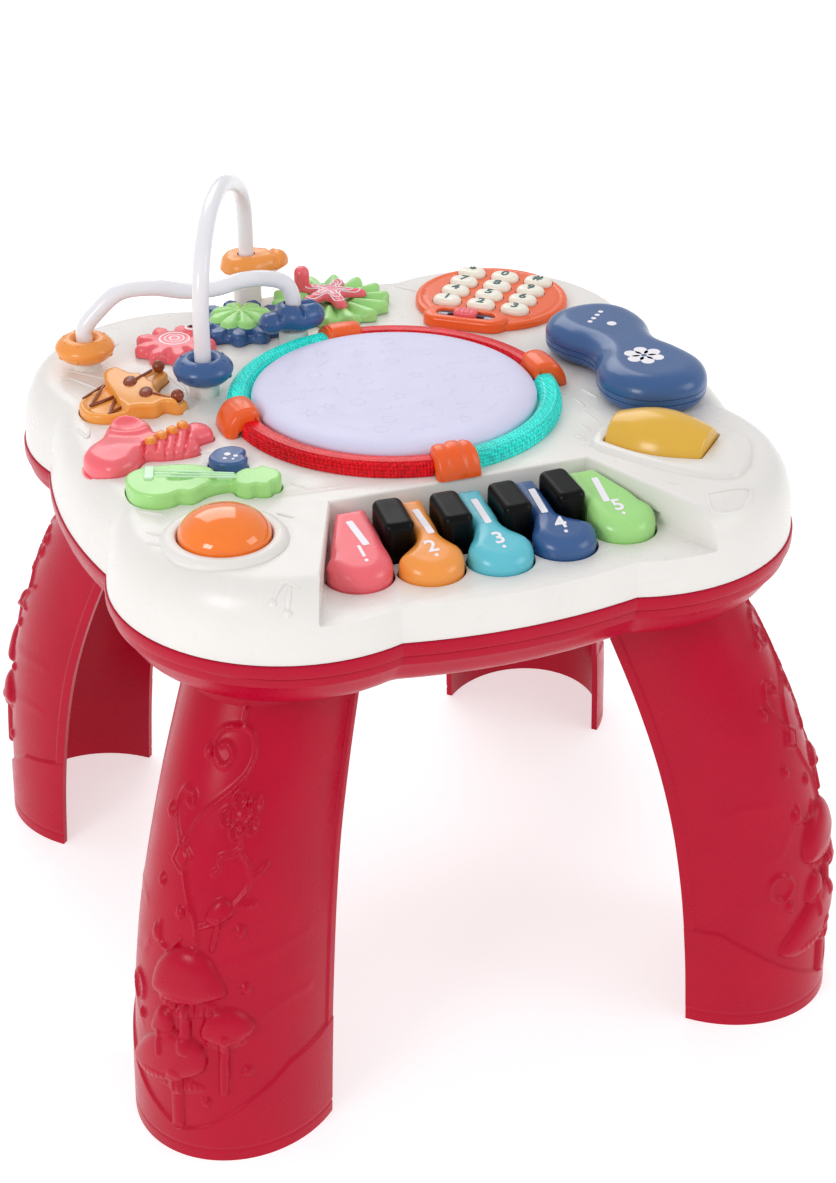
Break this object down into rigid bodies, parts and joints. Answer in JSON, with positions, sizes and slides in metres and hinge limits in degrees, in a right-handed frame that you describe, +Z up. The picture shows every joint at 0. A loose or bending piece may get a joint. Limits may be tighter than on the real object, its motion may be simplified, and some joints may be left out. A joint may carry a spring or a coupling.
{
  "type": "musical activity table",
  "caption": "Toddler's activity table with a lobed play panel, drum head in a light ring, piano keys, keypad, handset, gears and a bead maze, on curved legs.",
  "frame": {"origin": "on the floor under the middle of the table", "axes": "+Z up, -Y towards the piano keys at the front, +X towards the handset at the right"},
  "size_m": [0.3592, 0.3592, 0.3682],
  "materials": {
    "panel_white": "gloss",
    "crimson": "gloss",
    "milk": "frosted",
    "ring": "clear, lit from inside",
    "ring_turquoise": "clear, lit from inside",
    "brown": "gloss",
    "print_white": "gloss print",
    "print_dark": "gloss print",
    "clip_orange": "gloss",
    "coral": "gloss",
    "orange": "gloss",
    "sky": "gloss",
    "denim": "gloss",
    "leaf": "gloss",
    "black": "gloss",
    "mustard": "gloss",
    "dome_orange": "clear gloss",
    "key_cream": "gloss",
    "wire_white": "gloss",
    "steel": "satin",
    "board": "matt",
    "speaker_black": "matt"
  },
  "bodies": {
    "table": {"top_panel": "panel_white", "bottom_tray": "crimson", "leg_front_left": "crimson", "leg_front_right": "crimson", "leg_back_left": "crimson", "leg_back_right": "crimson", "light_ring": "ring", "ring_clip_right": "clip_orange", "ring_clip_back": "clip_orange", "ring_clip_left": "clip_orange", "ring_clip_front": "clip_orange", "black_key_bar": "black", "key_hinge_rod": "steel", "keypad_plate": "clip_orange", "roller_axle": "steel", "wire_low": "wire_white", "wire_tall": "wire_white", "speaker": "speaker_black", "circuit_board": "board", "battery_1": "steel", "battery_2": "steel", "battery_3": "steel"},
    "battery_door": {"battery_door": "crimson"},
    "handset": {"handset_lower": "denim", "handset_upper": "denim"},
    "drum_head": {"drum_head": "milk"},
    "key_pink": {"key_pink": "coral"},
    "key_orange": {"key_orange": "orange"},
    "key_cyan": {"key_cyan": "sky"},
    "key_blue": {"key_blue": "denim"},
    "key_green": {"key_green": "leaf"},
    "digit_key_1": {"digit_key_1": "key_cream"},
    "digit_key_2": {"digit_key_2": "key_cream"},
    "digit_key_3": {"digit_key_3": "key_cream"},
    "digit_key_4": {"digit_key_4": "key_cream"},
    "digit_key_5": {"digit_key_5": "key_cream"},
    "digit_key_6": {"digit_key_6": "key_cream"},
    "digit_key_7": {"digit_key_7": "key_cream"},
    "digit_key_8": {"digit_key_8": "key_cream"},
    "digit_key_9": {"digit_key_9": "key_cream"},
    "digit_key_star": {"digit_key_star": "key_cream"},
    "digit_key_0": {"digit_key_0": "key_cream"},
    "digit_key_hash": {"digit_key_hash": "key_cream"},
    "guitar_button": {"guitar_button": "leaf"},
    "trumpet_button": {"trumpet_button": "coral"},
    "drum_button": {"drum_button": "orange"},
    "shell_button": {"shell_button": "denim"},
    "dome_button": {"dome_button": "dome_orange"},
    "pink_gear": {"pink_gear": "coral"},
    "blue_gear": {"blue_gear": "denim", "flower_cap": "leaf"},
    "green_gear": {"green_gear": "leaf", "star_cap": "coral"},
    "roller": {"roller": "mustard"},
    "switch_slider": {"switch_slider": "coral"},
    "bead_orange": {"bead_orange": "orange"},
    "bead_blue": {"bead_blue": "denim"},
    "bead_beetle": {"bead_beetle": "denim"},
    "bead_bug": {"bead_bug": "orange"}
  },
  "joints": [
    {"name": "battery_door_off", "type": "slide", "parent": "table", "child": "battery_door", "axis": [0, 0, -1], "range_m": [0, 0.05]},
    {"name": "handset_lift", "type": "slide", "parent": "table", "child": "handset", "axis": [0, 0, 1], "range_m": [0, 0.08]},
    {"name": "drum_head_press", "type": "slide", "parent": "table", "child": "drum_head", "axis": [0, 0, -1], "range_m": [0, 0.0015], "stiffness_N_per_m": 1500, "springref_m": -0.002},
    {"name": "key_pink_press", "type": "hinge", "parent": "table", "child": "key_pink", "pos_m": [0, -0.084, 0.256], "axis": [1, 0, 0], "range_deg": [0, 3], "stiffness_Nm_per_rad": 0.05, "springref_deg": -11.46},
    {"name": "key_orange_press", "type": "hinge", "parent": "table", "child": "key_orange", "pos_m": [0, -0.084, 0.256], "axis": [1, 0, 0], "range_deg": [0, 3], "stiffness_Nm_per_rad": 0.05, "springref_deg": -11.46},
    {"name": "key_cyan_press", "type": "hinge", "parent": "table", "child": "key_cyan", "pos_m": [0, -0.084, 0.256], "axis": [1, 0, 0], "range_deg": [0, 3], "stiffness_Nm_per_rad": 0.05, "springref_deg": -11.46},
    {"name": "key_blue_press", "type": "hinge", "parent": "table", "child": "key_blue", "pos_m": [0, -0.084, 0.256], "axis": [1, 0, 0], "range_deg": [0, 3], "stiffness_Nm_per_rad": 0.05, "springref_deg": -11.46},
    {"name": "key_green_press", "type": "hinge", "parent": "table", "child": "key_green", "pos_m": [0, -0.084, 0.256], "axis": [1, 0, 0], "range_deg": [0, 3], "stiffness_Nm_per_rad": 0.05, "springref_deg": -11.46},
    {"name": "digit_key_1_press", "type": "slide", "parent": "table", "child": "digit_key_1", "axis": [0, 0, -1], "range_m": [0, 0.0015], "stiffness_N_per_m": 250, "springref_m": -0.001},
    {"name": "digit_key_2_press", "type": "slide", "parent": "table", "child": "digit_key_2", "axis": [0, 0, -1], "range_m": [0, 0.0015], "stiffness_N_per_m": 250, "springref_m": -0.001},
    {"name": "digit_key_3_press", "type": "slide", "parent": "table", "child": "digit_key_3", "axis": [0, 0, -1], "range_m": [0, 0.0015], "stiffness_N_per_m": 250, "springref_m": -0.001},
    {"name": "digit_key_4_press", "type": "slide", "parent": "table", "child": "digit_key_4", "axis": [0, 0, -1], "range_m": [0, 0.0015], "stiffness_N_per_m": 250, "springref_m": -0.001},
    {"name": "digit_key_5_press", "type": "slide", "parent": "table", "child": "digit_key_5", "axis": [0, 0, -1], "range_m": [0, 0.0015], "stiffness_N_per_m": 250, "springref_m": -0.001},
    {"name": "digit_key_6_press", "type": "slide", "parent": "table", "child": "digit_key_6", "axis": [0, 0, -1], "range_m": [0, 0.0015], "stiffness_N_per_m": 250, "springref_m": -0.001},
    {"name": "digit_key_7_press", "type": "slide", "parent": "table", "child": "digit_key_7", "axis": [0, 0, -1], "range_m": [0, 0.0015], "stiffness_N_per_m": 250, "springref_m": -0.001},
    {"name": "digit_key_8_press", "type": "slide", "parent": "table", "child": "digit_key_8", "axis": [0, 0, -1], "range_m": [0, 0.0015], "stiffness_N_per_m": 250, "springref_m": -0.001},
    {"name": "digit_key_9_press", "type": "slide", "parent": "table", "child": "digit_key_9", "axis": [0, 0, -1], "range_m": [0, 0.0015], "stiffness_N_per_m": 250, "springref_m": -0.001},
    {"name": "digit_key_star_press", "type": "slide", "parent": "table", "child": "digit_key_star", "axis": [0, 0, -1], "range_m": [0, 0.0015], "stiffness_N_per_m": 250, "springref_m": -0.001},
    {"name": "digit_key_0_press", "type": "slide", "parent": "table", "child": "digit_key_0", "axis": [0, 0, -1], "range_m": [0, 0.0015], "stiffness_N_per_m": 250, "springref_m": -0.001},
    {"name": "digit_key_hash_press", "type": "slide", "parent": "table", "child": "digit_key_hash", "axis": [0, 0, -1], "range_m": [0, 0.0015], "stiffness_N_per_m": 250, "springref_m": -0.001},
    {"name": "guitar_button_press", "type": "slide", "parent": "table", "child": "guitar_button", "axis": [0, 0, -1], "range_m": [0, 0.002], "stiffness_N_per_m": 400, "springref_m": -0.002},
    {"name": "trumpet_button_press", "type": "slide", "parent": "table", "child": "trumpet_button", "axis": [0, 0, -1], "range_m": [0, 0.002], "stiffness_N_per_m": 400, "springref_m": -0.002},
    {"name": "drum_button_press", "type": "slide", "parent": "table", "child": "drum_button", "axis": [0, 0, -1], "range_m": [0, 0.002], "stiffness_N_per_m": 400, "springref_m": -0.002},
    {"name": "shell_button_press", "type": "slide", "parent": "table", "child": "shell_button", "axis": [0, 0, -1], "range_m": [0, 0.002], "stiffness_N_per_m": 400, "springref_m": -0.002},
    {"name": "dome_button_press", "type": "slide", "parent": "table", "child": "dome_button", "axis": [0, 0, -1], "range_m": [0, 0.003], "stiffness_N_per_m": 400, "springref_m": -0.002},
    {"name": "pink_gear_spin", "type": "hinge", "parent": "table", "child": "pink_gear", "pos_m": [-0.0816, 0.0978, 0.2843], "axis": [0, 0, 1], "continuous": true},
    {"name": "blue_gear_spin", "type": "hinge", "parent": "table", "child": "blue_gear", "pos_m": [-0.042, 0.1136, 0.2843], "axis": [0, 0, 1], "continuous": true},
    {"name": "green_gear_spin", "type": "hinge", "parent": "table", "child": "green_gear", "pos_m": [0.0106, 0.1242, 0.2843], "axis": [0, 0, 1], "continuous": true},
    {"name": "roller_spin", "type": "hinge", "parent": "table", "child": "roller", "pos_m": [0.1013, -0.0839, 0.2775], "axis": [0.7071, -0.7071, 0], "continuous": true},
    {"name": "switch_slide", "type": "slide", "parent": "table", "child": "switch_slider", "axis": [0.788, -0.6157, 0], "range_m": [-0.007, 0.007]},
    {"name": "bead_orange_slide", "type": "slide", "parent": "table", "child": "bead_orange", "axis": [0, 0, 1], "range_m": [0, 0.002]},
    {"name": "bead_blue_slide", "type": "slide", "parent": "table", "child": "bead_blue", "axis": [0, 0, 1], "range_m": [0, 0.02]},
    {"name": "bead_beetle_slide", "type": "slide", "parent": "table", "child": "bead_beetle", "axis": [0, 0, 1], "range_m": [0, 0.0015]},
    {"name": "bead_bug_slide", "type": "slide", "parent": "table", "child": "bead_bug", "axis": [0, 0, 1], "range_m": [0, 0.01]}
  ],
  "couplings": [
    {"joint": "pink_gear_spin", "follows": "blue_gear_spin", "ratio": -1.2222},
    {"joint": "green_gear_spin", "follows": "blue_gear_spin", "ratio": -0.78571}
  ]
}
